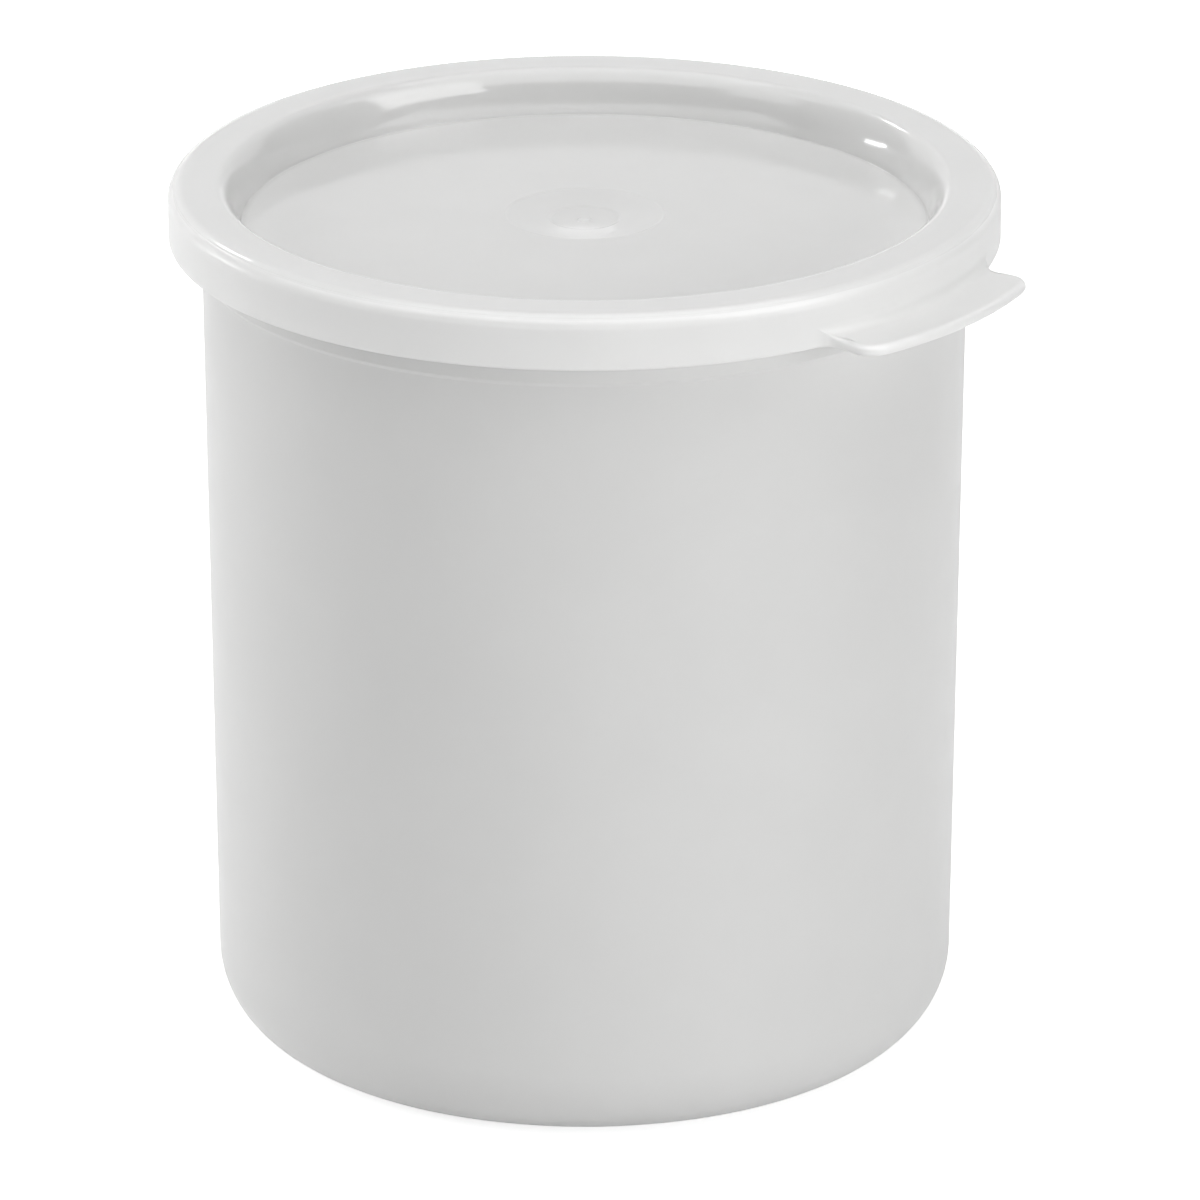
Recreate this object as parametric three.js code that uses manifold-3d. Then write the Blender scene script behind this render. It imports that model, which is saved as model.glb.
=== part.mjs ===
// Salad bar crock: a straight-sided moulded pot and a lid that snaps over its lip.
// Millimetres, +Z up. The origin is the centre of the flat base that the pot stands on,
// and the lid's pull tab points along +X.
import * as THREE from "three";
import { mergeVertices } from "three/addons/utils/BufferGeometryUtils.js";
import Module from "manifold-3d";

const wasm = await Module();
wasm.setup();

// Crock
const CROCK_HEIGHT = 172.6;
const CROCK_WALL = 2.8;
const CROCK_FLOOR = 3.0;
const BODY_RADIUS = 74.6;
const BODY_DRAFT = 2.0;
const BASE_CORNER_RADIUS = 15.6;

// Collar and lip of the crock, measured down from the rim
const COLLAR_DROP = 14.4;
const COLLAR_STEP = 0.5;
const COLLAR_RISE = 0.8;
const LIP_OVERHANG = 4.0;
const LIP_DEPTH = 6.0;
const LIP_UNDERSIDE_RISE = 2.4;
const LIP_ROOT_RADIUS = 1.5;
const LIP_LOWER_RADIUS = 0.8;
const LIP_UPPER_RADIUS = 1.8;
const MOUTH_EDGE_RADIUS = 1.0;

// Clearances between the lid and the crock
const SEAT_GAP = 0.3;
const SKIRT_CLEARANCE = 0.5;
const BEAD_CLEARANCE = 0.3;

// Lid
const LID_WALL = 1.5;
const SKIRT_HEIGHT = 10.8;
const SKIRT_EDGE_RADIUS = 0.6;
const RIM_OUTER_RADIUS = 3.0;
const BEAD_RISE = 1.6;
const BEAD_HEIGHT = 1.6;

// Well of the lid: its wall is an upright ellipse that starts level with the rim
const WELL_DEPTH = 8.6;
const WELL_INSET = 0.7;
const WELL_SPAN = 4.6;
const WELL_ARC_HEIGHT = 20.0;
const WELL_FOOT_RADIUS = 0.35;
const PANEL_CROWN = 1.8;

// Gate dish in the middle of the panel
const DISH_RADIUS = 15.5;
const DISH_DEPTH = 1.25;
const GATE_RADIUS = 7.2;
const GATE_STEP = 0.15;
const GATE_STEP_RUN = 0.5;
const GATE_DEPTH = 0.45;
const NUB_RADIUS = 1.5;
const NUB_HEIGHT = 0.3;

// Pull tab
const TAB_REACH = 10.7;
const TAB_HALF_ANGLE = THREE.MathUtils.degToRad(17.4);
const TAB_THICKNESS = 2.05;
const TAB_EDGE_RADIUS = 0.8;
const TAB_CORNER_RADIUS = 6.0;
const TAB_ROOT_RADIUS = 4.5;
const TAB_FILLET = 2.2;

// Facets
const TURN_SEGMENTS = 72;
const ARC_STEP = THREE.MathUtils.degToRad(24);
const CROWN_RINGS = 5;
const WELL_RINGS = 6;
const OUTLINE_DIVISIONS = 6;
const WELD = 1e-3;

// Sizes that follow from the ones above
const COLLAR_Z = CROCK_HEIGHT - COLLAR_DROP;
const COLLAR_RADIUS = BODY_RADIUS + COLLAR_STEP;
const LIP_RADIUS = COLLAR_RADIUS + LIP_OVERHANG;
const MOUTH_RADIUS = COLLAR_RADIUS - CROCK_WALL;
const LID_UNDERSIDE_Z = CROCK_HEIGHT + SEAT_GAP;
const LID_TOP_Z = LID_UNDERSIDE_Z + LID_WALL;
const SKIRT_INNER_RADIUS = LIP_RADIUS + SKIRT_CLEARANCE;
const SKIRT_RADIUS = SKIRT_INNER_RADIUS + LID_WALL;
const SKIRT_BOTTOM_Z = LID_TOP_Z - SKIRT_HEIGHT;
const WELL_FLOOR_Z = LID_TOP_Z - WELL_DEPTH;
const WELL_TOP_AT = MOUTH_RADIUS - WELL_INSET;
const WELL_FOOT_AT = WELL_TOP_AT - WELL_SPAN;
const WELL_CENTRE_Z = LID_TOP_Z - WELL_ARC_HEIGHT;
const WELL_FOOT_ANGLE = Math.asin(1 - WELL_DEPTH / WELL_ARC_HEIGHT);
const WELL_ARC_WIDTH = WELL_SPAN / Math.cos(WELL_FOOT_ANGLE);
const TAB_RADIUS = SKIRT_RADIUS + TAB_REACH;
const TAB_INNER_RADIUS = SKIRT_RADIUS - LID_WALL / 2;

// A profile corner: radius from the axis, height and the fillet that rounds it.
function corner(r, z, fillet = 0) {
  return { at: new THREE.Vector2(r, z), fillet };
}

// The arc that rounds one corner, tangent to the lines before and after it.
function filletPoints(before, at, after, fillet) {
  const back = before.clone().sub(at).normalize();
  const ahead = after.clone().sub(at).normalize();
  const halfAngle = Math.acos(back.dot(ahead)) / 2;
  const toCentre = back.clone().add(ahead).setLength(fillet / Math.sin(halfAngle));
  const centre = at.clone().add(toCentre);
  const start = at.clone().addScaledVector(back, fillet / Math.tan(halfAngle));
  const sweep = Math.sign(ahead.cross(back)) * (Math.PI - 2 * halfAngle);
  const steps = Math.ceil(Math.abs(sweep) / ARC_STEP);
  const points = [];
  for (let k = 0; k <= steps; k++) {
    points.push(start.clone().rotateAround(centre, (sweep * k) / steps));
  }
  return points;
}

// The points of a profile, with every filleted corner turned into an arc.
function profilePoints(corners) {
  return corners.flatMap(({ at, fillet }, i) =>
    fillet > 0 ? filletPoints(corners[i - 1].at, at, corners[i + 1].at, fillet) : [at],
  );
}

// A solid of revolution about the vertical axis, from a profile that runs up its outside.
function revolve(corners) {
  return new THREE.LatheGeometry(profilePoints(corners), TURN_SEGMENTS).rotateX(Math.PI / 2);
}

// A closed geometry as a solid that can be joined and cut.
function solidOf(geometry) {
  const bare = geometry.clone();
  bare.deleteAttribute("normal");
  bare.deleteAttribute("uv");
  const merged = mergeVertices(bare, WELD);
  return new wasm.Manifold(
    new wasm.Mesh({
      numProp: 3,
      vertProperties: merged.attributes.position.array,
      triVerts: new Uint32Array(merged.index.array),
    }),
  );
}

// A joined or cut solid as a geometry.
function geometryOf(solid) {
  const mesh = solid.getMesh();
  const geometry = new THREE.BufferGeometry();
  geometry.setAttribute("position", new THREE.BufferAttribute(mesh.vertProperties, 3));
  geometry.setIndex(new THREE.BufferAttribute(mesh.triVerts, 1));
  geometry.computeVertexNormals();
  return geometry;
}

// The pot: a drafted wall on a rounded base, a collar step below the lid and an out-turned lip.
function crockGeometry() {
  const baseRadius = BODY_RADIUS - BODY_DRAFT;
  const lipRootZ = CROCK_HEIGHT - LIP_DEPTH;
  return revolve([
    corner(0, 0),
    corner(baseRadius, 0, BASE_CORNER_RADIUS),
    corner(BODY_RADIUS, COLLAR_Z),
    corner(COLLAR_RADIUS, COLLAR_Z + COLLAR_RISE),
    corner(COLLAR_RADIUS, lipRootZ, LIP_ROOT_RADIUS),
    corner(LIP_RADIUS, lipRootZ + LIP_UNDERSIDE_RISE, LIP_LOWER_RADIUS),
    corner(LIP_RADIUS, CROCK_HEIGHT, LIP_UPPER_RADIUS),
    corner(MOUTH_RADIUS, CROCK_HEIGHT, MOUTH_EDGE_RADIUS),
    corner(MOUTH_RADIUS, COLLAR_Z + COLLAR_RISE),
    corner(BODY_RADIUS - CROCK_WALL, COLLAR_Z),
    corner(baseRadius - CROCK_WALL, CROCK_FLOOR, BASE_CORNER_RADIUS - CROCK_WALL),
    corner(0, CROCK_FLOOR),
  ]);
}

// Height of the crowned panel above its edge, as the cap of a sphere.
function crownHeight(r) {
  const sphereRadius = (WELL_FOOT_AT ** 2 + PANEL_CROWN ** 2) / (2 * PANEL_CROWN);
  return Math.sqrt(sphereRadius ** 2 - r ** 2) - (sphereRadius - PANEL_CROWN);
}

// The top of the panel from the well's foot to the axis: a crown, a dish, its gate hollow and a nub.
function panelCorners() {
  const corners = [];
  for (let k = 1; k <= CROWN_RINGS; k++) {
    const r = THREE.MathUtils.lerp(WELL_FOOT_AT, DISH_RADIUS, k / CROWN_RINGS);
    corners.push(corner(r, WELL_FLOOR_Z + crownHeight(r)));
  }
  const dishZ = WELL_FLOOR_Z + crownHeight(DISH_RADIUS) - DISH_DEPTH;
  const gateZ = dishZ - GATE_DEPTH;
  corners.push(corner(GATE_RADIUS, dishZ));
  corners.push(corner(GATE_RADIUS - GATE_STEP_RUN, dishZ - GATE_STEP));
  corners.push(corner(NUB_RADIUS, gateZ));
  corners.push(corner(NUB_RADIUS * Math.SQRT1_2, gateZ + NUB_HEIGHT));
  corners.push(corner(0, gateZ + NUB_HEIGHT));
  return corners;
}

// The underside of the panel from the axis out: the same form one wall lower, without the nub.
function panelUndersideCorners() {
  const plain = panelCorners().slice(0, -3);
  const gateZ = plain.at(-1).at.y;
  const lowered = [...plain, corner(0, gateZ)].map(({ at }) => corner(at.x, at.y - LID_WALL));
  return lowered.reverse();
}

// The wall of the well from a height at its top down to its foot, moved out by a distance.
function wellCorners(topZ, outBy) {
  const topAngle = Math.asin(1 - (LID_TOP_Z - topZ) / WELL_ARC_HEIGHT);
  const corners = [];
  for (let k = 0; k <= WELL_RINGS; k++) {
    const angle = THREE.MathUtils.lerp(topAngle, WELL_FOOT_ANGLE, k / WELL_RINGS);
    const r = WELL_TOP_AT - WELL_ARC_WIDTH * Math.cos(angle) + outBy;
    corners.push(corner(r, WELL_CENTRE_Z + WELL_ARC_HEIGHT * Math.sin(angle)));
  }
  corners.at(-1).fillet = WELL_FOOT_RADIUS;
  return corners;
}

// The lid without its tab: a skirt over the lip, a flat rim, a plug wall and the panel.
function lidShellGeometry() {
  const footSlope = (WELL_ARC_WIDTH / WELL_ARC_HEIGHT) * Math.tan(WELL_FOOT_ANGLE);
  const plugFootAt = WELL_FOOT_AT + LID_WALL * (1 - footSlope);
  const channelRadius = Math.min(Math.max(RIM_OUTER_RADIUS - LID_WALL, 0), LIP_UPPER_RADIUS);
  const beadZ = SKIRT_BOTTOM_Z + BEAD_RISE;
  return revolve([
    ...panelUndersideCorners(),
    corner(plugFootAt, WELL_FLOOR_Z - LID_WALL, LID_WALL),
    ...wellCorners(LID_UNDERSIDE_Z, LID_WALL).slice(0, -1).reverse(),
    corner(SKIRT_INNER_RADIUS, LID_UNDERSIDE_Z, channelRadius),
    corner(SKIRT_INNER_RADIUS, beadZ + BEAD_HEIGHT),
    corner(LIP_RADIUS + BEAD_CLEARANCE, beadZ + BEAD_HEIGHT / 2),
    corner(SKIRT_INNER_RADIUS, beadZ),
    corner(SKIRT_INNER_RADIUS, SKIRT_BOTTOM_Z),
    corner(SKIRT_RADIUS, SKIRT_BOTTOM_Z, SKIRT_EDGE_RADIUS),
    corner(SKIRT_RADIUS, LID_TOP_Z, RIM_OUTER_RADIUS),
    ...wellCorners(LID_TOP_Z, 0),
    ...panelCorners(),
  ]);
}

// A brim all round the skirt with the tab's section: a thin plate that sweeps up into the skirt.
function brimGeometry() {
  const plateZ = SKIRT_BOTTOM_Z + TAB_THICKNESS;
  const start = corner(TAB_INNER_RADIUS, SKIRT_BOTTOM_Z);
  return revolve([
    start,
    corner(TAB_RADIUS, SKIRT_BOTTOM_Z, TAB_EDGE_RADIUS),
    corner(TAB_RADIUS, plateZ, TAB_EDGE_RADIUS),
    corner(SKIRT_RADIUS, plateZ, TAB_FILLET),
    corner(SKIRT_RADIUS, plateZ + TAB_FILLET),
    corner(TAB_INNER_RADIUS, plateZ + TAB_FILLET),
    start,
  ]);
}

// A point of the plan view, by its distance from the axis and its angle from +X.
function polar(r, angle) {
  return [r * Math.cos(angle), r * Math.sin(angle)];
}

// Plan outline of the tab: an arc concentric with the skirt, round corners and flared roots.
function tabOutline() {
  const cornerAngle = TAB_CORNER_RADIUS / TAB_RADIUS;
  const rootAngle = TAB_ROOT_RADIUS / SKIRT_RADIUS;
  const cornerRadius = TAB_RADIUS - TAB_CORNER_RADIUS;
  const rootRadius = Math.min(SKIRT_RADIUS + TAB_ROOT_RADIUS, cornerRadius);
  const side = TAB_HALF_ANGLE;
  const outline = new THREE.Shape();
  outline.moveTo(...polar(TAB_INNER_RADIUS, -side - rootAngle));
  outline.lineTo(...polar(SKIRT_RADIUS, -side - rootAngle));
  outline.quadraticCurveTo(...polar(SKIRT_RADIUS, -side), ...polar(rootRadius, -side));
  outline.lineTo(...polar(cornerRadius, -side));
  outline.quadraticCurveTo(...polar(TAB_RADIUS, -side), ...polar(TAB_RADIUS, cornerAngle - side));
  outline.absarc(0, 0, TAB_RADIUS, cornerAngle - side, side - cornerAngle, false);
  outline.quadraticCurveTo(...polar(TAB_RADIUS, side), ...polar(cornerRadius, side));
  outline.lineTo(...polar(rootRadius, side));
  outline.quadraticCurveTo(...polar(SKIRT_RADIUS, side), ...polar(SKIRT_RADIUS, side + rootAngle));
  outline.lineTo(...polar(TAB_INNER_RADIUS, side + rootAngle));
  outline.absarc(0, 0, TAB_INNER_RADIUS, side + rootAngle, -side - rootAngle, true);
  return outline;
}

// The tab: the part of the brim inside the plan outline.
function tabSolid() {
  const depth = TAB_THICKNESS + TAB_FILLET;
  const prism = new THREE.ExtrudeGeometry(tabOutline(), {
    depth: depth + 2 * LID_WALL,
    bevelEnabled: false,
    curveSegments: OUTLINE_DIVISIONS,
  });
  prism.translate(0, 0, SKIRT_BOTTOM_Z - LID_WALL);
  return solidOf(brimGeometry()).intersect(solidOf(prism));
}

function namedMesh(name, geometry, color, roughness) {
  const material = new THREE.MeshStandardMaterial({ color, roughness, metalness: 0 });
  const mesh = new THREE.Mesh(geometry, material);
  mesh.name = name;
  return mesh;
}

const lidSolid = solidOf(lidShellGeometry()).add(tabSolid());

const saladBarCrock = new THREE.Group();
saladBarCrock.add(namedMesh("crock", crockGeometry(), 0xd6d6d4, 0.42));
saladBarCrock.add(namedMesh("lid", geometryOf(lidSolid), 0xe8e8e6, 0.3));

export default saladBarCrock;
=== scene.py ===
"""Looks of the salad bar crock: a satin moulded pot and its milky lid with a pull tab."""

import math
import bmesh
import bpy
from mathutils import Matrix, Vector


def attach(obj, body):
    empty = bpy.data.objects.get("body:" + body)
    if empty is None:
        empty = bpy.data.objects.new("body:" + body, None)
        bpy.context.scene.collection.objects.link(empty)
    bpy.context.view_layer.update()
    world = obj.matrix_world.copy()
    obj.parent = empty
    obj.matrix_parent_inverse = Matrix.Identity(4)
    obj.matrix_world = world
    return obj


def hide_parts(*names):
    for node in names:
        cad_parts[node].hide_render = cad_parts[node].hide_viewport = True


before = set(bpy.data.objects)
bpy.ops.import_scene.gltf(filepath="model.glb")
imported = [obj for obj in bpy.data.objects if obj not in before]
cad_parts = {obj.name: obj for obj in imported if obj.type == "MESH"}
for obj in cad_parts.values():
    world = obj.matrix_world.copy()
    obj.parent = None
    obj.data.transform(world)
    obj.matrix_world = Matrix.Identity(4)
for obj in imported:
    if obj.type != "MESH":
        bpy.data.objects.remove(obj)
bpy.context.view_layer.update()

MM = 0.001

# Crock sizes in millimetres
CROCK_HEIGHT = 172.6
CROCK_WALL = 2.8
CROCK_FLOOR = 3.0
BODY_RADIUS = 74.6
BODY_DRAFT = 2.0
BASE_CORNER_RADIUS = 15.6
COLLAR_DROP = 14.4
COLLAR_STEP = 0.5
COLLAR_RISE = 0.8
COLLAR_EDGE_RADIUS = 0.2
LIP_OVERHANG = 4.0
LIP_DEPTH = 6.0
LIP_UNDERSIDE_RISE = 2.4
LIP_ROOT_RADIUS = 1.5
LIP_LOWER_RADIUS = 0.8
LIP_UPPER_RADIUS = 1.8
MOUTH_EDGE_RADIUS = 1.0

# Lid sizes in millimetres
SEAT_GAP = 0.3
SKIRT_CLEARANCE = 0.5
BEAD_CLEARANCE = 0.3
LID_WALL = 1.5
SKIRT_HEIGHT = 10.8
SKIRT_EDGE_RADIUS = 0.6
RIM_OUTER_RADIUS = 3.0
RIM_LINE_TURN = math.radians(51)  # how far up the rim's rounding the thin line runs
RIM_LINE_HALF_WIDTH = 0.15
RIM_LINE_DEPTH = 0.07
RIM_LINE_ROOM = 0.85  # share of the rounding's radius that leaves room for the line
BEAD_RISE = 1.6
BEAD_HEIGHT = 1.6
BEAD_EDGE_RADIUS = 0.3
WELL_DEPTH = 8.6
WELL_INSET = 0.7
WELL_SPAN = 4.6
WELL_ARC_HEIGHT = 20.0
WELL_FOOT_RADIUS = 0.35
PANEL_CROWN = 1.8
DISH_RADIUS = 15.5
DISH_STEP = 0.08
DISH_STEP_RUN = 0.3
DISH_EDGE_RADIUS = 0.15
DISH_BEND_AT = 11.2  # inside this radius the dish is steeper
DISH_BEND_DEPTH = 0.39
DISH_BEND_RADIUS = 70.0
DISH_DEPTH = 0.8
GATE_RADIUS = 7.2
GATE_STEP = 0.22
GATE_STEP_RUN = 0.7
GATE_EDGE_RADIUS = 0.2
GATE_DEPTH = 0.52
GATE_FLAT_RADIUS = 3.0
GATE_BOWL_RADIUS = 25.0
NUB_RADIUS = 1.5
NUB_HEIGHT = 0.3
NUB_EDGE_RADIUS = 0.15
TAB_REACH = 10.7
TAB_HALF_ANGLE = math.radians(17.4)
TAB_THICKNESS = 2.05
TAB_EDGE_RADIUS = 1.4
TAB_EDGE_SHARE = 0.35  # radius of the tab's upper edge per millimetre of reach, near its roots
TAB_CORNER_RADIUS = 6.0
TAB_ROOT_RADIUS = 4.5
TAB_FILLET = 2.2

# Mesh fineness
TURN_SEGMENTS = 192
ARC_STEP = math.radians(7)
ARC_LEAST_STEPS = 3
SUPPORT = 0.3  # distance of a straight run's extra rings from its ends
SHORT_RUN = 3 * SUPPORT
RING_SPACING = 9.0
CROWN_RINGS = 22
WELL_RINGS = 20
EDGE_STEPS = 6
WALL_STEPS = 3
FILLET_STEPS = 8
CURVE_STEPS = 10
TAB_ARC_STEPS = 18
WELD = 1e-6

# Sizes that follow from the ones above
COLLAR_Z = CROCK_HEIGHT - COLLAR_DROP
COLLAR_RADIUS = BODY_RADIUS + COLLAR_STEP
LIP_RADIUS = COLLAR_RADIUS + LIP_OVERHANG
MOUTH_RADIUS = COLLAR_RADIUS - CROCK_WALL
LID_UNDERSIDE_Z = CROCK_HEIGHT + SEAT_GAP
LID_TOP_Z = LID_UNDERSIDE_Z + LID_WALL
SKIRT_INNER_RADIUS = LIP_RADIUS + SKIRT_CLEARANCE
SKIRT_RADIUS = SKIRT_INNER_RADIUS + LID_WALL
SKIRT_BOTTOM_Z = LID_TOP_Z - SKIRT_HEIGHT
WELL_FLOOR_Z = LID_TOP_Z - WELL_DEPTH
WELL_TOP_AT = MOUTH_RADIUS - WELL_INSET
WELL_FOOT_AT = WELL_TOP_AT - WELL_SPAN
WELL_MIDDLE_AT = WELL_TOP_AT - WELL_SPAN / 2
WELL_CENTRE_Z = LID_TOP_Z - WELL_ARC_HEIGHT
WELL_FOOT_ANGLE = math.asin(1 - WELL_DEPTH / WELL_ARC_HEIGHT)
WELL_ARC_WIDTH = WELL_SPAN / math.cos(WELL_FOOT_ANGLE)
CROWN_OUTER_AT = WELL_FOOT_AT - 2 * WELL_FOOT_RADIUS
CROWN_INNER_AT = DISH_RADIUS + 2 * DISH_EDGE_RADIUS
NUB_TOP_RADIUS = NUB_RADIUS * math.sqrt(0.5)
TAB_RADIUS = SKIRT_RADIUS + TAB_REACH
TAB_PLATE_Z = SKIRT_BOTTOM_Z + TAB_THICKNESS
TAB_TOP_Z = TAB_PLATE_Z + TAB_FILLET

# Camera, fitted to the outline in the photograph
CAMERA_AZIMUTH = math.radians(37.3)
CAMERA_DISTANCE = 1.9823
CAMERA_HEIGHT = 0.8392
CAMERA_PITCH = math.radians(20.78)
CAMERA_LENS = 322.17
CAMERA_SENSOR = 36.0
CAMERA_SHIFT_X = 0.0128


def lerp(a, b, t):
    return a + (b - a) * t


def arc_points(before, at, after, radius):
    """The arc that rounds one profile corner, tangent to the lines before and after it."""
    back = (before - at).normalized()
    ahead = (after - at).normalized()
    half_angle = back.angle(ahead) / 2
    centre = at + (back + ahead).normalized() * (radius / math.sin(half_angle))
    start = at + back * (radius / math.tan(half_angle))
    turn = ahead.x * back.y - ahead.y * back.x
    sweep = math.copysign(math.pi - 2 * half_angle, turn)
    steps = max(ARC_LEAST_STEPS, math.ceil(abs(sweep) / ARC_STEP))
    spoke = start - centre
    points = []
    for k in range(steps + 1):
        angle = sweep * k / steps
        cos, sin = math.cos(angle), math.sin(angle)
        points.append(centre + Vector((spoke.x * cos - spoke.y * sin, spoke.x * sin + spoke.y * cos)))
    return points


def straight_points(start, end):
    """Points along a straight run: one close to each end, which keeps the shading flat, and even rings."""
    length = (end - start).length
    if length < SHORT_RUN:
        return []
    near = start.lerp(end, SUPPORT / length)
    far = end.lerp(start, SUPPORT / length)
    steps = math.ceil((length - 2 * SUPPORT) / RING_SPACING)
    return [near.lerp(far, k / steps) for k in range(steps + 1)]


def profile(corners):
    """Points of a profile given as (radius, height, fillet) corners."""
    at = [Vector((r, z)) for r, z, fillet in corners]
    points = []
    for k, (r, z, fillet) in enumerate(corners):
        rounded = [at[k]]
        if fillet > 0:
            rounded = arc_points(at[k - 1], at[k], at[k + 1], fillet)
        if points:
            points.extend(straight_points(points[-1], rounded[0]))
        points.extend(rounded)
    return points


def turned(points, angle):
    """A profile's points at one angle round the axis, in metres."""
    cos, sin = math.cos(angle) * MM, math.sin(angle) * MM
    return [Vector((p.x * cos, p.x * sin, p.y * MM)) for p in points]


def skin(name, columns):
    """A closed smooth mesh through columns of points that go round the axis."""
    mesh = bpy.data.meshes.new(name)
    rows = len(columns[0])
    verts = [point for column in columns for point in column]
    faces = []
    for c in range(len(columns)):
        here = c * rows
        there = (c + 1) % len(columns) * rows
        for k in range(rows - 1):
            faces.append((here + k, there + k, there + k + 1, here + k + 1))
    mesh.from_pydata(verts, [], faces)
    weld = bmesh.new()
    weld.from_mesh(mesh)
    bmesh.ops.remove_doubles(weld, verts=weld.verts, dist=WELD)
    bmesh.ops.dissolve_degenerate(weld, edges=weld.edges, dist=WELD)
    bmesh.ops.recalc_face_normals(weld, faces=weld.faces)
    weld.to_mesh(mesh)
    weld.free()
    mesh.shade_smooth()
    piece = bpy.data.objects.new(name, mesh)
    bpy.context.scene.collection.objects.link(piece)
    return piece


def crock_profile():
    """The pot's section: out along the base, up the wall to the lip and back down the inside."""
    base_radius = BODY_RADIUS - BODY_DRAFT
    lip_root_z = CROCK_HEIGHT - LIP_DEPTH
    return profile([
        (0, 0, 0),
        (base_radius, 0, BASE_CORNER_RADIUS),
        (BODY_RADIUS, COLLAR_Z, COLLAR_EDGE_RADIUS),
        (COLLAR_RADIUS, COLLAR_Z + COLLAR_RISE, COLLAR_EDGE_RADIUS),
        (COLLAR_RADIUS, lip_root_z, LIP_ROOT_RADIUS),
        (LIP_RADIUS, lip_root_z + LIP_UNDERSIDE_RISE, LIP_LOWER_RADIUS),
        (LIP_RADIUS, CROCK_HEIGHT, LIP_UPPER_RADIUS),
        (MOUTH_RADIUS, CROCK_HEIGHT, MOUTH_EDGE_RADIUS),
        (MOUTH_RADIUS, COLLAR_Z + COLLAR_RISE, COLLAR_EDGE_RADIUS),
        (BODY_RADIUS - CROCK_WALL, COLLAR_Z, COLLAR_EDGE_RADIUS),
        (base_radius - CROCK_WALL, CROCK_FLOOR, BASE_CORNER_RADIUS - CROCK_WALL),
        (0, CROCK_FLOOR, 0),
    ])


def crown_height(r):
    """Height of the crowned panel above its edge, as the cap of a sphere."""
    sphere_radius = (WELL_FOOT_AT ** 2 + PANEL_CROWN ** 2) / (2 * PANEL_CROWN)
    return math.sqrt(sphere_radius ** 2 - r ** 2) - (sphere_radius - PANEL_CROWN)


def crown_points():
    """The crown from just inside the well's foot to just outside the dish."""
    points = []
    for k in range(1, CROWN_RINGS + 1):
        r = lerp(CROWN_OUTER_AT, CROWN_INNER_AT, k / CROWN_RINGS)
        points.append(Vector((r, WELL_FLOOR_Z + crown_height(r))))
    return points


def hollow_corners(crown_end):
    """Corners from the crown's end through the dish and the gate hollow to the hollow's flat middle."""
    edge_z = WELL_FLOOR_Z + crown_height(DISH_RADIUS)
    dish_z = edge_z - DISH_DEPTH
    gate_z = dish_z - GATE_DEPTH
    return [
        (crown_end.x, crown_end.y, 0),
        (DISH_RADIUS, edge_z, DISH_EDGE_RADIUS),
        (DISH_RADIUS - DISH_STEP_RUN, edge_z - DISH_STEP, DISH_EDGE_RADIUS),
        (DISH_BEND_AT, edge_z - DISH_BEND_DEPTH, DISH_BEND_RADIUS),
        (GATE_RADIUS, dish_z, GATE_EDGE_RADIUS),
        (GATE_RADIUS - GATE_STEP_RUN, dish_z - GATE_STEP, GATE_EDGE_RADIUS),
        (GATE_FLAT_RADIUS, gate_z, GATE_BOWL_RADIUS),
    ]


def panel_points():
    """The panel's top from the well's foot to the axis: crown, dish, gate hollow and nub."""
    crown = crown_points()
    hollow = hollow_corners(crown[-1])
    gate_z = hollow[-1][1]
    nub_z = gate_z + NUB_HEIGHT
    nub = [
        (NUB_RADIUS, gate_z, NUB_EDGE_RADIUS),
        (NUB_TOP_RADIUS, nub_z, NUB_EDGE_RADIUS),
        (0, nub_z, 0),
    ]
    return crown[:-1] + profile(hollow + nub)


def panel_underside_points():
    """The panel's underside from the axis out: the same form one wall lower, without the nub."""
    crown = crown_points()
    hollow = hollow_corners(crown[-1])
    middle = profile(hollow + [(0, hollow[-1][1], 0)])
    drop = Vector((0, LID_WALL))
    return [p - drop for p in reversed(crown[:-1] + middle)]


def well_corners(top_z, out_by):
    """The wall of the well from a height at its top down to its foot, moved out by a distance."""
    top_angle = math.asin(1 - (LID_TOP_Z - top_z) / WELL_ARC_HEIGHT)
    corners = []
    for k in range(WELL_RINGS + 1):
        angle = lerp(top_angle, WELL_FOOT_ANGLE, k / WELL_RINGS)
        r = WELL_TOP_AT - WELL_ARC_WIDTH * math.cos(angle) + out_by
        corners.append((r, WELL_CENTRE_Z + WELL_ARC_HEIGHT * math.sin(angle), 0))
    return corners


def lid_inside_points():
    """From the axis under the panel, round the plug and the channel to the skirt's inner edge."""
    channel_radius = min(RIM_OUTER_RADIUS - LID_WALL, LIP_UPPER_RADIUS)
    bead_z = SKIRT_BOTTOM_Z + BEAD_RISE
    foot_slope = WELL_ARC_WIDTH / WELL_ARC_HEIGHT * math.tan(WELL_FOOT_ANGLE)
    plug_foot_at = WELL_FOOT_AT + LID_WALL * (1 - foot_slope)
    panel = panel_underside_points()
    wall = profile([
        (panel[-1].x, panel[-1].y, 0),
        (plug_foot_at, WELL_FLOOR_Z - LID_WALL, LID_WALL),
        *reversed(well_corners(LID_UNDERSIDE_Z, LID_WALL)[:-1]),
        (SKIRT_INNER_RADIUS, LID_UNDERSIDE_Z, channel_radius),
        (SKIRT_INNER_RADIUS, bead_z + BEAD_HEIGHT, 0),
        (LIP_RADIUS + BEAD_CLEARANCE, bead_z + BEAD_HEIGHT / 2, BEAD_EDGE_RADIUS),
        (SKIRT_INNER_RADIUS, bead_z, 0),
        (SKIRT_INNER_RADIUS, SKIRT_BOTTOM_Z, 0),
    ])
    return panel[:-1] + wall


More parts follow.
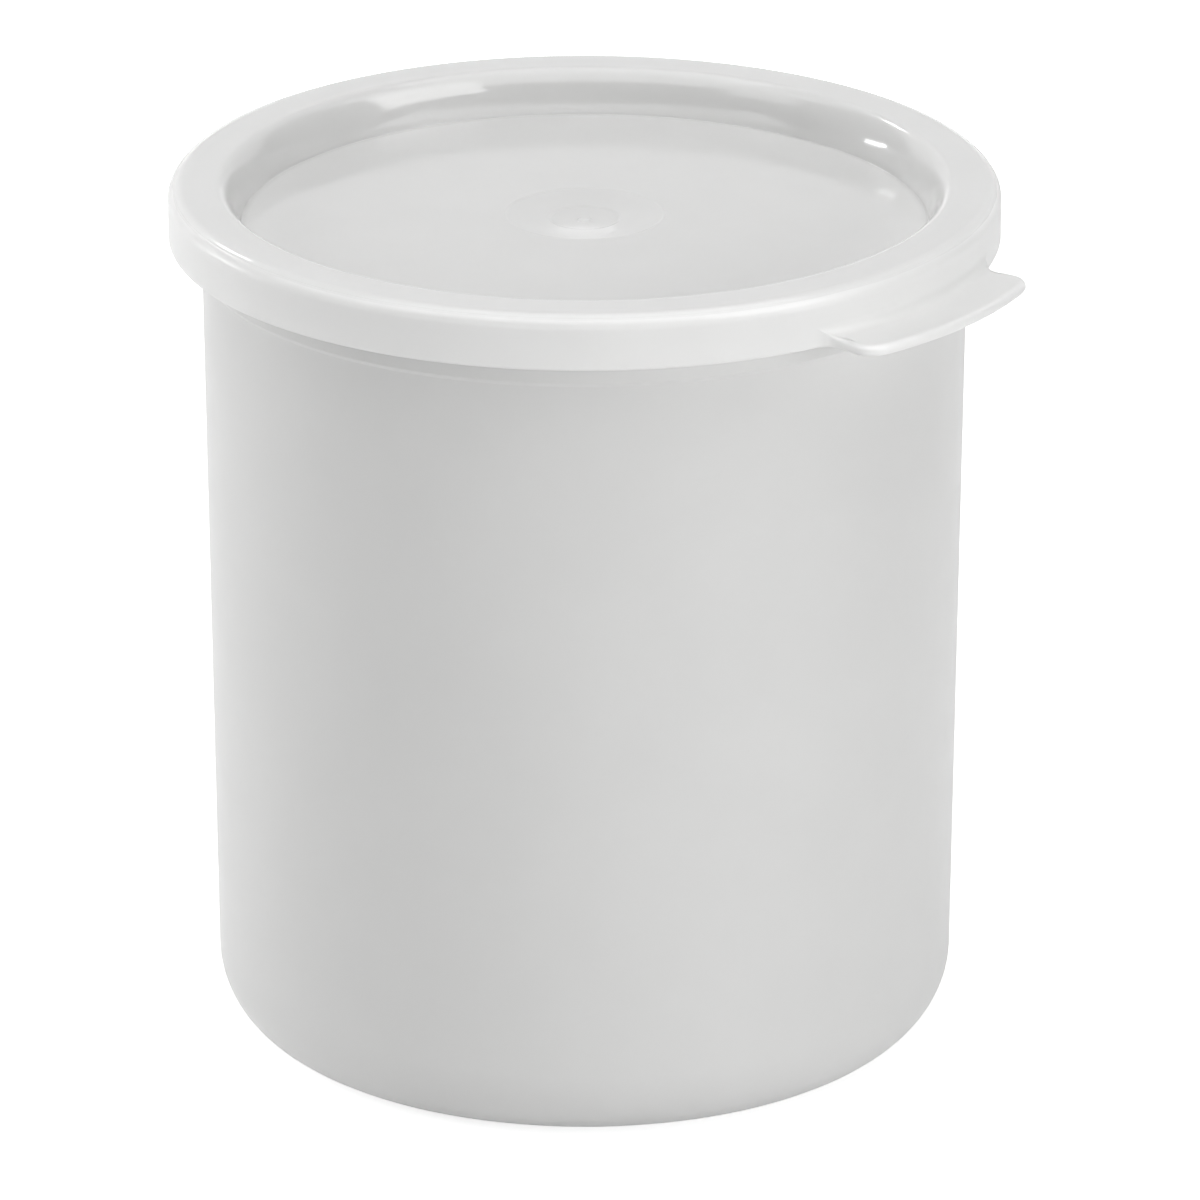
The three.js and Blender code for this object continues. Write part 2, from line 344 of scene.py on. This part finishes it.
def rim_corners():
    """The rim's rounded outer edge from the skirt up, with the thin line that runs round it."""
    radius = RIM_OUTER_RADIUS
    centre = Vector((SKIRT_RADIUS - radius, LID_TOP_Z - radius))
    outward = Vector((math.cos(RIM_LINE_TURN), math.sin(RIM_LINE_TURN)))
    along = Vector((-outward.y, outward.x)) * RIM_LINE_HALF_WIDTH
    line = centre + outward * radius
    bottom = line - outward * RIM_LINE_DEPTH
    lower_z = centre.y + radius * math.tan(RIM_LINE_TURN / 2)
    upper_at = centre.x + radius * math.tan((math.pi / 2 - RIM_LINE_TURN) / 2)
    return [
        (SKIRT_RADIUS, lower_z, radius * RIM_LINE_ROOM),
        (*(line - along), 0),
        (*bottom, 0),
        (*(line + along), 0),
        (upper_at, LID_TOP_Z, radius * RIM_LINE_ROOM),
    ]


def lid_outside_points():
    """From the skirt just above the tab, over the rim, down the well and across the panel."""
    panel = panel_points()
    wall = profile([
        (SKIRT_RADIUS, TAB_TOP_Z, 0),
        *rim_corners(),
        *well_corners(LID_TOP_Z, 0)[:-1],
        (WELL_FOOT_AT, WELL_FLOOR_Z, WELL_FOOT_RADIUS),
        (panel[0].x, panel[0].y, 0),
    ])
    return wall + panel[1:]


def polar(r, angle):
    """A point in plan by its radius and angle."""
    return Vector((r * math.cos(angle), r * math.sin(angle)))


def curve_points(start, control, end):
    """Points of a quadratic curve, without its last one."""
    points = []
    for k in range(CURVE_STEPS):
        t = k / CURVE_STEPS
        points.append(start.lerp(control, t).lerp(control.lerp(end, t), t))
    return points


def tab_outline():
    """Half of the tab's plan outline, from the middle of its arc to the flared root."""
    side = TAB_HALF_ANGLE
    corner_angle = TAB_CORNER_RADIUS / TAB_RADIUS
    root_angle = TAB_ROOT_RADIUS / SKIRT_RADIUS
    arc_end = side - corner_angle
    points = [polar(TAB_RADIUS, arc_end * k / TAB_ARC_STEPS) for k in range(TAB_ARC_STEPS)]
    corner_foot = polar(TAB_RADIUS - TAB_CORNER_RADIUS, side)
    points += curve_points(polar(TAB_RADIUS, arc_end), polar(TAB_RADIUS, side), corner_foot)
    root_head = polar(min(SKIRT_RADIUS + TAB_ROOT_RADIUS, corner_foot.length), side)
    root_foot = polar(SKIRT_RADIUS, side + root_angle)
    points.append(corner_foot)
    points += curve_points(root_head, polar(SKIRT_RADIUS, side), root_foot)
    points.append(root_foot)
    return points


def outline_normals(points):
    """Outward normals of a plan outline that runs anticlockwise round the tab."""
    normals = []
    for k in range(len(points)):
        before = points[max(k - 1, 0)]
        after = points[min(k + 1, len(points) - 1)]
        along = after - before
        normals.append(Vector((along.y, -along.x)).normalized())
    return normals


def skirt_angles(points):
    """The angle at which each outline point's column meets the skirt: even steps past the arc."""
    angles = [math.atan2(p.y, p.x) for p in points[:TAB_ARC_STEPS + 1]]
    rest = points[TAB_ARC_STEPS:]
    lengths = [(b - a).length for a, b in zip(rest, rest[1:])]
    end = math.atan2(points[-1].y, points[-1].x)
    start = angles[-1]
    run = 0.0
    for length in lengths:
        run += length
        angles.append(lerp(start, end, run / sum(lengths)))
    return angles


def lifted(flat, z):
    """A plan point at a height."""
    return Vector((flat.x, flat.y, z))


def share_of(part, whole):
    """The share that a part has in a whole, or none where there is no whole."""
    return part / whole if whole > 0 else 0.0


def lower_edge_points(angle, outline, normal):
    """From the skirt's inner bottom edge out to the rim of the tab and round its lower edge."""
    edge = SKIRT_EDGE_RADIUS
    inner = polar(SKIRT_INNER_RADIUS, angle)
    inset = outline - normal * edge
    points = [lifted(inner.lerp(inset, k / WALL_STEPS), SKIRT_BOTTOM_Z) for k in range(1, WALL_STEPS)]
    for k in range(EDGE_STEPS + 1):
        turn = math.pi / 2 * k / EDGE_STEPS
        flat = inset + normal * edge * math.sin(turn)
        points.append(lifted(flat, SKIRT_BOTTOM_Z + edge * (1 - math.cos(turn))))
    return points


def side_points(outline, end_z):
    """Up the side of the tab from its lower rounding to the upper one."""
    start_z = SKIRT_BOTTOM_Z + SKIRT_EDGE_RADIUS
    return [lifted(outline, lerp(start_z, end_z, k / WALL_STEPS)) for k in range(1, WALL_STEPS)]


def upper_round_points(inset, normal, edge, top_z):
    """Round the tab's upper edge."""
    points = []
    for k in range(EDGE_STEPS + 1):
        turn = math.pi / 2 * k / EDGE_STEPS
        flat = inset + normal * edge * math.cos(turn)
        points.append(lifted(flat, top_z - edge * (1 - math.sin(turn))))
    return points


def plate_points(foot, inset, depth, top_z):
    """Over the tab's plate from its upper edge to the fillet."""
    fillet_share = share_of(min(TAB_FILLET, depth), depth)
    shares = [lerp(1.0, fillet_share, k / WALL_STEPS) for k in range(1, WALL_STEPS)]
    return [lifted(foot.lerp(inset, share), top_z) for share in shares]


def fillet_points(foot, inset, depth, start_turn):
    """Up the fillet to the skirt, from the turn at which the plate meets it."""
    points = []
    for k in range(FILLET_STEPS):
        turn = lerp(start_turn, math.pi / 2, k / FILLET_STEPS)
        flat = foot.lerp(inset, share_of(TAB_FILLET * (1 - math.sin(turn)), depth))
        points.append(lifted(flat, TAB_TOP_Z - TAB_FILLET * math.cos(turn)))
    return points


def upper_edge_points(angle, outline, normal):
    """Up the side of the tab, round its upper edge, over the plate and up the fillet to the skirt."""
    reach = max(outline.length - SKIRT_RADIUS, 0.0)
    edge = min(TAB_EDGE_RADIUS, reach * TAB_EDGE_SHARE)
    inset = outline - normal * edge
    depth = max(inset.length - SKIRT_RADIUS, 0.0)
    start_turn = math.asin(max(TAB_FILLET - depth, 0.0) / TAB_FILLET)
    top_z = TAB_TOP_Z - TAB_FILLET * math.cos(start_turn)
    foot = polar(SKIRT_RADIUS, angle)
    points = side_points(outline, top_z - edge)
    points += upper_round_points(inset, normal, edge, top_z)
    points += plate_points(foot, inset, depth, top_z)
    points += fillet_points(foot, inset, depth, start_turn)
    return points


def lid_column(inside, outside, angle, outline, normal):
    """One column of the lid's skin, through the tab's edge where the outline stands off the skirt."""
    edge = lower_edge_points(angle, outline, normal) + upper_edge_points(angle, outline, normal)
    return turned(inside, angle) + [p * MM for p in edge] + turned(outside, angle)


def lid_columns():
    """Columns round the whole lid, finer where the tab is."""
    inside = lid_inside_points()
    outside = lid_outside_points()
    outline = tab_outline()
    normals = outline_normals(outline)
    angles = skirt_angles(outline)
    half = [lid_column(inside, outside, a, p, n) for a, p, n in zip(angles, outline, normals)]
    plain = []
    gap = 2 * math.pi - 2 * angles[-1]
    steps = round(gap / (2 * math.pi) * TURN_SEGMENTS)
    for k in range(1, steps):
        angle = angles[-1] + gap * k / steps
        direction = polar(1, angle)
        plain.append(lid_column(inside, outside, angle, direction * SKIRT_RADIUS, direction))
    mirrored = [[Vector((p.x, -p.y, p.z)) for p in column] for column in reversed(half[1:])]
    return half + plain + mirrored


# Tones and surface of the plastics; the lid's three tones carry painted light and shade
WHITE = (1, 1, 1, 1)
CROCK_TONE = (0.66, 0.66, 0.655)
# painted shade: the panel's tone is kept darker than the rim's for the crock's dark inside under it
PANEL_SHADED_TONE = (0.735, 0.735, 0.73)
# painted shade: the well's wall is darkest, for the dark band of shade and reflection on it
WALL_SHADED_TONE = (0.67, 0.67, 0.665)
# painted light: the rim, skirt and tab are lighter for the light the white lip under them sends back through
# the milky plastic
RIM_LIT_TONE = (0.775, 0.775, 0.77)
CROCK_ROUGHNESS = (0.28, 0.34)
CROCK_IOR = 1.5
CROCK_GRAIN_DEPTH = 2e-6
LID_ROUGHNESS = (0.08, 0.12)
SKIRT_ROUGHNESS = (0.30, 0.36)
LID_IOR = 1.52
LID_GRAIN_DEPTH = 1e-6
LID_SUBSURFACE = 0.5
LID_SCATTER = 0.0025
LID_SCATTER_RATIO = (1, 1, 1)
CLOUD_SPREAD = 0.012
CLOUD_SCALE = 45.0
CLOUD_DETAIL = 3.0
SMEAR_SCALE = 120.0
SMEAR_DETAIL = 4.0
GRAIN_SCALE = 1400.0
GRAIN_DETAIL = 2.0
NOISE_LOW = 0.3
NOISE_HIGH = 0.7
PLAN_ONLY = (1, 1, 0)

# How far in from the skirt's face, in millimetres, the lid starts to turn satin and is satin
SATIN_START_IN = 1.35
SATIN_FULL_IN = 0.6


def node(tree, kind, **values):
    """A shader node with its unlinked inputs set by name."""
    made = tree.nodes.new(kind)
    for key, value in values.items():
        made.inputs[key.replace("_", " ")].default_value = value
    return made


def noise(tree, coords, scale, detail):
    """A noise texture in the piece's own metres."""
    texture = node(tree, "ShaderNodeTexNoise", Scale=scale, Detail=detail)
    tree.links.new(coords, texture.inputs["Vector"])
    return texture.outputs["Fac"]


def spread(tree, factor, low, high):
    """A noise value mapped to a range."""
    ranged = node(
        tree, "ShaderNodeMapRange", From_Min=NOISE_LOW, From_Max=NOISE_HIGH, To_Min=low, To_Max=high)
    tree.links.new(factor, ranged.inputs["Value"])
    return ranged.outputs["Result"]


def colour_mix(tree, factor):
    """A node that mixes two colours."""
    mix = tree.nodes.new("ShaderNodeMix")
    mix.data_type = "RGBA"
    tree.links.new(factor, mix.inputs["Factor"])
    return mix


def clouded(tree, coords, tone):
    """A tone with faint clouds in it."""
    clouds = noise(tree, coords, CLOUD_SCALE, CLOUD_DETAIL)
    mix = colour_mix(tree, spread(tree, clouds, 0.0, 1.0))
    mix.inputs["A"].default_value = (*(c * (1 - CLOUD_SPREAD) for c in tone), 1)
    mix.inputs["B"].default_value = (*(c * (1 + CLOUD_SPREAD) for c in tone), 1)
    return mix.outputs["Result"]


def zoned(tree, coords, inner, outer, start, end):
    """One colour or roughness that turns into another between two distances from the axis."""
    flat = node(tree, "ShaderNodeVectorMath")
    flat.operation = "MULTIPLY"
    flat.inputs[1].default_value = PLAN_ONLY
    tree.links.new(coords, flat.inputs[0])
    distance = node(tree, "ShaderNodeVectorMath")
    distance.operation = "LENGTH"
    tree.links.new(flat.outputs[0], distance.inputs[0])
    zone = node(tree, "ShaderNodeMapRange", From_Min=start * MM, From_Max=end * MM)
    zone.interpolation_type = "SMOOTHSTEP"
    tree.links.new(distance.outputs["Value"], zone.inputs["Value"])
    mix = colour_mix(tree, zone.outputs["Result"])
    tree.links.new(inner, mix.inputs["A"])
    tree.links.new(outer, mix.inputs["B"])
    return mix.outputs["Result"]


def uneven_gloss(tree, coords, roughness):
    """A roughness that wanders between two values."""
    return spread(tree, noise(tree, coords, SMEAR_SCALE, SMEAR_DETAIL), *roughness)


def plastic(name, ior, grain_depth):
    """Moulded plastic without its colour and gloss: a fine moulded grain."""
    material = bpy.data.materials.new(name)
    material.use_nodes = True
    tree = material.node_tree
    shader = tree.nodes["Principled BSDF"]
    shader.inputs["IOR"].default_value = ior
    coords = tree.nodes.new("ShaderNodeTexCoord").outputs["Object"]
    grain = noise(tree, coords, GRAIN_SCALE, GRAIN_DETAIL)
    bump = node(tree, "ShaderNodeBump", Strength=1.0, Distance=grain_depth)
    tree.links.new(grain, bump.inputs["Height"])
    tree.links.new(bump.outputs["Normal"], shader.inputs["Normal"])
    return material, tree, shader, coords


def crock_plastic():
    """Opaque satin plastic."""
    material, tree, shader, coords = plastic("crock_satin_plastic", CROCK_IOR, CROCK_GRAIN_DEPTH)
    tree.links.new(clouded(tree, coords, CROCK_TONE), shader.inputs["Base Color"])
    tree.links.new(uneven_gloss(tree, coords, CROCK_ROUGHNESS), shader.inputs["Roughness"])
    return material


def lid_plastic():
    """Milky plastic with painted light and shade in its colour: a lighter tone on the rim, skirt and tab as
    painted light from the white lip under them, a darker one on the panel as painted shade over the dark
    inside, and the darkest on the well's wall as painted shade.

    The skirt and the tab are satin, and the rest is glossy.
    """
    material, tree, shader, coords = plastic("lid_milky_plastic", LID_IOR, LID_GRAIN_DEPTH)
    glossy = uneven_gloss(tree, coords, LID_ROUGHNESS)
    satin = uneven_gloss(tree, coords, SKIRT_ROUGHNESS)
    gloss = zoned(tree, coords, glossy, satin, SKIRT_RADIUS - SATIN_START_IN, SKIRT_RADIUS - SATIN_FULL_IN)
    tree.links.new(gloss, shader.inputs["Roughness"])
    # painted shade on the panel and the well's wall and painted light on the rim, skirt and tab, zoned by
    # distance from the axis
    panel = clouded(tree, coords, PANEL_SHADED_TONE)
    wall = clouded(tree, coords, WALL_SHADED_TONE)
    rim = clouded(tree, coords, RIM_LIT_TONE)
    well = zoned(tree, coords, panel, wall, WELL_FOOT_AT - LID_WALL, WELL_FOOT_AT)
    whole = zoned(tree, coords, well, rim, WELL_MIDDLE_AT, MOUTH_RADIUS)
    tree.links.new(whole, shader.inputs["Base Color"])
    shader.inputs["Subsurface Weight"].default_value = LID_SUBSURFACE
    shader.inputs["Subsurface Radius"].default_value = LID_SCATTER_RATIO
    shader.inputs["Subsurface Scale"].default_value = LID_SCATTER
    return material


def dress(piece, material, body, cad_node):
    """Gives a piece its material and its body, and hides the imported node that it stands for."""
    piece.data.materials.append(material)
    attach(piece, body)
    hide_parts(cad_node)


def make_pieces():
    """The crock and the lid."""
    steps = range(TURN_SEGMENTS)
    section = crock_profile()
    crock = skin("crock_moulding", [turned(section, 2 * math.pi * k / TURN_SEGMENTS) for k in steps])
    lid = skin("lid_moulding", lid_columns())
    dress(crock, crock_plastic(), "crock_body", "crock")
    dress(lid, lid_plastic(), "lid_body", "lid")


def seen_level(tree, seen, mirrored):
    """One level for camera and transmission rays and another for glossy rays, and none for the rest."""
    path = tree.nodes.new("ShaderNodeLightPath")
    direct = tree.nodes.new("ShaderNodeMath")
    direct.operation = "MAXIMUM"
    tree.links.new(path.outputs["Is Camera Ray"], direct.inputs[0])
    tree.links.new(path.outputs["Is Transmission Ray"], direct.inputs[1])
    glossy = tree.nodes.new("ShaderNodeMath")
    glossy.operation = "MULTIPLY"
    glossy.inputs[1].default_value = mirrored
    tree.links.new(path.outputs["Is Glossy Ray"], glossy.inputs[0])
    level = tree.nodes.new("ShaderNodeMath")
    level.operation = "MULTIPLY_ADD"
    level.inputs[1].default_value = seen
    tree.links.new(direct.outputs[0], level.inputs[0])
    tree.links.new(glossy.outputs[0], level.inputs[2])
    return level.outputs[0]


# How bright the camera and gloss see the world and the floor
WORLD_GLOW = 1.0
WORLD_GLOSS = 1.0
FLOOR_GLOW = 0.72
FLOOR_GLOSS = 0.39

# The floor's own tone and its size in metres
FLOOR_TONE = 0.8
FLOOR_RADIUS = 3.0
FLOOR_SIDES = 96
FLOOR_DROP = 0.0001


def bare_material(name):
    """A material without a shader, its node tree and the socket that takes its surface."""
    material = bpy.data.materials.new(name)
    material.use_nodes = True
    tree = material.node_tree
    tree.nodes.remove(tree.nodes["Principled BSDF"])
    return material, tree, tree.nodes["Material Output"].inputs["Surface"]


def floor_material():
    """White as seen, with the object's soft shadow, and a pale grey to the light it bounces."""
    material, tree, surface = bare_material("floor_white")
    matt = node(tree, "ShaderNodeBsdfDiffuse", Color=(FLOOR_TONE, FLOOR_TONE, FLOOR_TONE, 1))
    glow = node(tree, "ShaderNodeEmission", Color=WHITE)
    tree.links.new(seen_level(tree, FLOOR_GLOW, FLOOR_GLOSS), glow.inputs["Strength"])
    both = tree.nodes.new("ShaderNodeAddShader")
    tree.links.new(matt.outputs[0], both.inputs[0])
    tree.links.new(glow.outputs[0], both.inputs[1])
    tree.links.new(both.outputs[0], surface)
    return material


def make_floor():
    bpy.ops.mesh.primitive_circle_add(vertices=FLOOR_SIDES, radius=FLOOR_RADIUS, fill_type="NGON")
    floor = bpy.context.object
    floor.name = "floor"
    floor.location.z = -FLOOR_DROP
    floor.data.materials.append(floor_material())


def make_world():
    world = bpy.data.worlds.new("studio")
    bpy.context.scene.world = world
    world.use_nodes = True
    tree = world.node_tree
    back = tree.nodes["Background"]
    back.inputs["Color"].default_value = WHITE
    tree.links.new(seen_level(tree, WORLD_GLOW, WORLD_GLOSS), back.inputs["Strength"])


# Lamps: turn from the camera's side and elevation in degrees, then distance, width and height in metres,
# radiance, and whether they show in gloss
LAMPS = {
    "ceiling_softbox": (0, 83, 1.8, 2.4, 2.6, 0.88, False),
    "overhead_softbox": (0, 88, 1.8, 1.5, 1.5, 1.55, False),
    "right_softbox": (52, 9, 1.8, 0.9, 0.75, 6.8, False),
    "front_softbox": (-5, 12, 1.8, 1.9, 0.85, 1.35, False),
    "left_softbox": (-107, 14, 1.8, 1.7, 0.9, 3.0, False),
    "upper_left_softbox": (-60, 42, 1.8, 1.2, 0.9, 0.55, False),
    "back_softbox": (140, 14, 1.8, 0.9, 0.9, 0.8, False),
    "left_lamp": (-112, 4.5, 1.8, 0.34, 0.2, 17.0, True),
    "back_lamp": (-144.5, 37, 1.8, 0.26, 0.2, 10.0, True),
}
AIM_HEIGHT = 0.1
AIM = Vector((0, 0, AIM_HEIGHT))

# What only gloss sees of the room: flat cards by the turn and elevation of their corners and their radiance,
# and bands by the turn of their middle, half width, lowest and highest elevation, taper of the ends,
# radiance and distance
CARDS = {
    "right_card": (((87, 41), (46, 54), (34, 28), (70, 18)), 5.1),
    "left_card": (((-66, 55), (-92, 46), (-76, 24), (-50, 29)), 2.1),
}
BANDS = {
    "dark_room": (0, 132, -8, 38, 1, 0.1, 3.4),
    "ceiling": (0, 180, 60, 90, 1, 2.8, 3.4),
    "ceiling_front": (0, 105, 40, 60, 20, 2.8, 3.4),
    "low_band": (0, 100, -8, 13, 40, 2.3, 2.7),
    "back_band": (180, 16, -3, 11.5, 4, 1.35, 2.7),
}
CARD_DISTANCE = 2.4
BAND_STEPS = 48


def from_camera_side(turn, elevation, distance):
    """A point round the object, by its turn from the camera's side, its elevation and its distance."""
    azimuth = CAMERA_AZIMUTH + math.radians(turn)
    lift = math.radians(elevation)
    flat = math.cos(lift) * distance
    return AIM + Vector((flat * math.sin(azimuth), -flat * math.cos(azimuth), math.sin(lift) * distance))


def facing(place):
    return (AIM - place).to_track_quat("-Z", "Y").to_euler()


def make_lamp(name, turn, elevation, distance, width, height, radiance, in_gloss):
    lamp = bpy.data.lights.new(name, "AREA")
    lamp.shape = "RECTANGLE"
    lamp.size = width
    lamp.size_y = height
    lamp.energy = radiance * math.pi * width * height
    holder = bpy.data.objects.new(name, lamp)
    holder.location = from_camera_side(turn, elevation, distance)
    holder.rotation_euler = facing(holder.location)
    holder.visible_camera = False
    holder.visible_glossy = in_gloss
    bpy.context.scene.collection.objects.link(holder)


def gloss_only(name, points, faces, radiance):
    """A glowing stage mesh that only gloss sees."""
    material, tree, surface = bare_material(name)
    glow = node(tree, "ShaderNodeEmission", Color=WHITE, Strength=radiance)
    tree.links.new(glow.outputs[0], surface)
    mesh = bpy.data.meshes.new(name)
    mesh.from_pydata(points, [], faces)
    mesh.materials.append(material)
    card = bpy.data.objects.new(name, mesh)
    card.visible_camera = False
    card.visible_diffuse = False
    card.visible_transmission = False
    card.visible_shadow = False
    bpy.context.scene.collection.objects.link(card)


def make_card(name, corners, radiance):
    points = [from_camera_side(turn, elevation, CARD_DISTANCE) for turn, elevation in corners]
    gloss_only(name, points, [(0, 1, 2, 3)], radiance)


def make_band(name, middle, half_width, low, high, taper, radiance, distance):
    points = []
    for k in range(BAND_STEPS + 1):
        aside = lerp(-half_width, half_width, k / BAND_STEPS)
        top = lerp(low, high, min(1, (half_width - abs(aside)) / taper))
        points.append(from_camera_side(middle + aside, low, distance))
        points.append(from_camera_side(middle + aside, top, distance))
    faces = [(2 * k, 2 * k + 2, 2 * k + 3, 2 * k + 1) for k in range(BAND_STEPS)]
    gloss_only(name, points, faces, radiance)


def make_camera():
    camera = bpy.data.cameras.new("camera")
    camera.sensor_width = CAMERA_SENSOR
    camera.lens = CAMERA_LENS
    camera.shift_x = CAMERA_SHIFT_X
    holder = bpy.data.objects.new("camera", camera)
    aside = CAMERA_DISTANCE * math.sin(CAMERA_AZIMUTH)
    back = CAMERA_DISTANCE * math.cos(CAMERA_AZIMUTH)
    holder.location = (aside, -back, CAMERA_HEIGHT)
    holder.rotation_euler = (math.pi / 2 - CAMERA_PITCH, 0, CAMERA_AZIMUTH)
    bpy.context.scene.collection.objects.link(holder)
    bpy.context.scene.camera = holder


make_pieces()
make_floor()
make_world()
for lamp_name, lamp_values in LAMPS.items():
    make_lamp(lamp_name, *lamp_values)
for card_name, card_values in CARDS.items():
    make_card(card_name, *card_values)
for band_name, band_values in BANDS.items():
    make_band(band_name, *band_values)
make_camera()
bpy.context.scene.view_settings.view_transform = "Standard"
